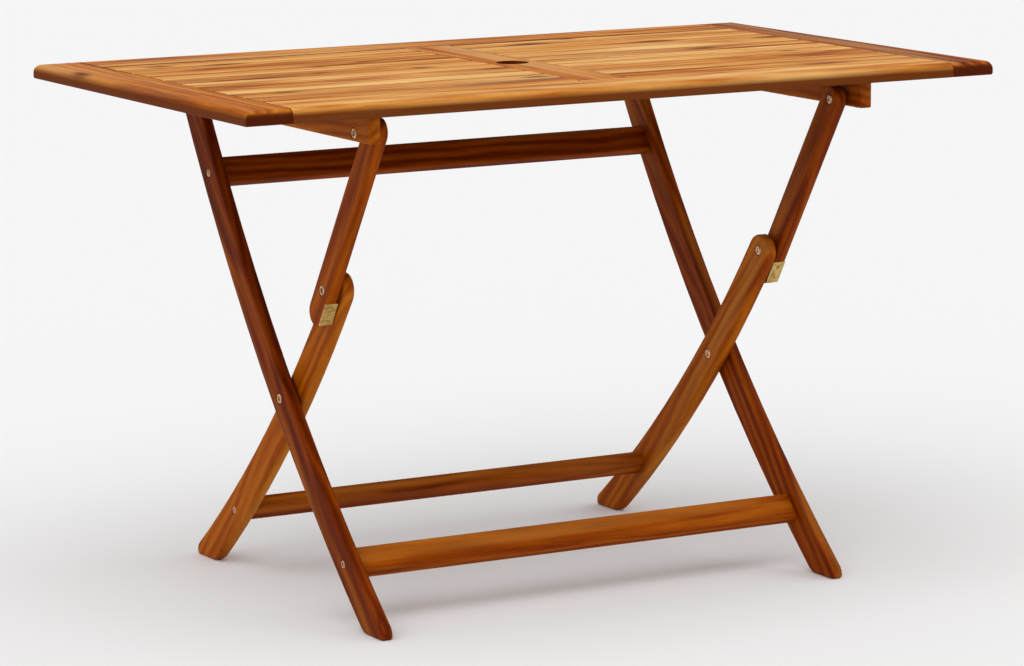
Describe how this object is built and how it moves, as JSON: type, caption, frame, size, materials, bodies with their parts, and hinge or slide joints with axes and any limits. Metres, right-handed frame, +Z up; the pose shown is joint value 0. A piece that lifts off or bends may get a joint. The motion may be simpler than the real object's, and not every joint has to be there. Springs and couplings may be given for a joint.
{
  "type": "folding picnic table",
  "caption": "Folding wooden picnic table with a slatted top, a parasol hole and curved crossing legs that fold up under the top.",
  "frame": {"origin": "on the floor under the middle of the top, with the table open and standing", "axes": "+X along the table's length, +Y towards its back edge, where the outer legs' tops are, +Z up"},
  "size_m": [1.2, 0.7, 0.75],
  "materials": {
    "top_wood": "oiled, semi-gloss",
    "frame_wood": "oiled, semi-gloss",
    "steel": "zinc plated",
    "brass": "satin"
  },
  "bodies": {
    "table_top": {"end_rail_left": "top_wood", "end_rail_right": "top_wood", "long_rail_front": "top_wood", "long_rail_back": "top_wood", "centre_board": "top_wood", "slat_left_01": "top_wood", "slat_left_02": "top_wood", "slat_left_03": "top_wood", "slat_left_04": "top_wood", "slat_left_05": "top_wood", "slat_left_06": "top_wood", "slat_left_07": "top_wood", "slat_left_08": "top_wood", "slat_left_09": "top_wood", "slat_left_10": "top_wood", "slat_right_01": "top_wood", "slat_right_02": "top_wood", "slat_right_03": "top_wood", "slat_right_04": "top_wood", "slat_right_05": "top_wood", "slat_right_06": "top_wood", "slat_right_07": "top_wood", "slat_right_08": "top_wood", "slat_right_09": "top_wood", "slat_right_10": "top_wood", "batten_left": "frame_wood", "batten_right": "frame_wood", "link_pivot_bolt_left": "steel", "link_pivot_spacer_left": "steel", "leg_pivot_bolt_left": "steel", "leg_pivot_spacer_left": "steel", "link_pivot_bolt_right": "steel", "link_pivot_spacer_right": "steel", "leg_pivot_bolt_right": "steel", "leg_pivot_spacer_right": "steel"},
    "upper_links": {"upper_link_left": "frame_wood", "upper_link_right": "frame_wood", "knee_plate_left": "brass", "knee_plate_right": "brass", "link_pivot_nut_left": "steel", "link_pivot_nut_right": "steel", "knee_bolt_left": "steel", "knee_bolt_right": "steel"},
    "lower_frame": {"lower_leg_left": "frame_wood", "lower_leg_right": "frame_wood", "lower_stretcher": "frame_wood", "knee_nut_left": "steel", "knee_washer_left": "steel", "crossing_nut_left": "steel", "knee_nut_right": "steel", "knee_washer_right": "steel", "crossing_nut_right": "steel"},
    "outer_frame": {"outer_leg_left": "frame_wood", "outer_leg_right": "frame_wood", "outer_top_stretcher": "frame_wood", "outer_foot_stretcher": "frame_wood", "leg_pivot_nut_left": "steel", "crossing_bolt_left": "steel", "leg_pivot_nut_right": "steel", "crossing_bolt_right": "steel"}
  },
  "joints": [
    {"name": "link_fold", "type": "hinge", "parent": "table_top", "child": "upper_links", "pos_m": [0, -0.281, 0.702], "axis": [1, 0, 0], "range_deg": [0, 52]},
    {"name": "knee_fold", "type": "hinge", "parent": "upper_links", "child": "lower_frame", "pos_m": [0, -0.12975, 0.46497], "axis": [1, 0, 0], "range_deg": [-143.72, 0]},
    {"name": "outer_fold", "type": "hinge", "parent": "table_top", "child": "outer_frame", "pos_m": [0, 0.29676, 0.70183], "axis": [1, 0, 0], "range_deg": [-36.52, 0]}
  ],
  "couplings": [
    {"joint": "knee_fold", "follows": "link_fold", "ratio": -2.7618},
    {"joint": "outer_fold", "follows": "link_fold", "ratio": -0.70037}
  ]
}
